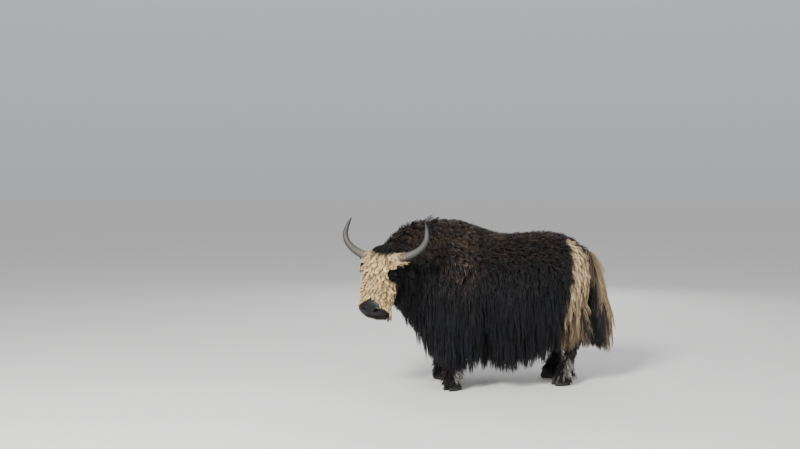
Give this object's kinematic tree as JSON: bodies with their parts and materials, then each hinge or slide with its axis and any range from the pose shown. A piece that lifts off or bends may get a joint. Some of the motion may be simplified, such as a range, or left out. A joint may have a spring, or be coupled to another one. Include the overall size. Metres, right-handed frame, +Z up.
{
  "type": "domestic yak, life-size still model",
  "caption": "Life-size domestic yak standing on all fours with its head turned to its left, in a long shaggy coat with a pale face and rump.",
  "frame": {"origin": "on the floor under the middle of the whole model's box", "axes": "+Z up; the animal faces -X and looks round to -Y; its left side is at -Y and its tail at +X"},
  "size_m": [2.3697, 0.9077, 1.416],
  "materials": {
    "dark_coat": "long black-brown hair, faintly glossy, sun-bleached brown over the hump",
    "pale_coat": "cream to straw-coloured hair, matt",
    "tail_coat": "long hair, dark brown in the middle and straw-coloured outside",
    "muzzle_skin": "bare dark grey skin, slightly moist",
    "horn": "grey-olive horn, ringed at the base and darker at the tip",
    "hoof": "dull dark grey hoof",
    "eye": "wet dark brown eye"
  },
  "bodies": {
    "root": {"barrel_left": "dark_coat", "barrel_right": "dark_coat", "ear_left": "dark_coat", "ear_right": "dark_coat", "eye_left": "eye", "eye_right": "eye", "fore_claw_left_inner": "hoof", "fore_claw_left_outer": "hoof", "fore_claw_right_inner": "hoof", "fore_claw_right_outer": "hoof", "fore_leg_left": "dark_coat", "fore_leg_right": "dark_coat", "forequarter_left": "dark_coat", "forequarter_right": "dark_coat", "head": "pale_coat", "hind_claw_left_inner": "hoof", "hind_claw_left_outer": "hoof", "hind_claw_right_inner": "hoof", "hind_claw_right_outer": "hoof", "hind_leg_left": "dark_coat", "hind_leg_right": "dark_coat", "hindquarter_left": "pale_coat", "hindquarter_right": "pale_coat", "horn_left": "horn", "horn_right": "horn", "muzzle": "muzzle_skin", "neck": "dark_coat", "tail": "tail_coat"}
  },
  "joints": []
}
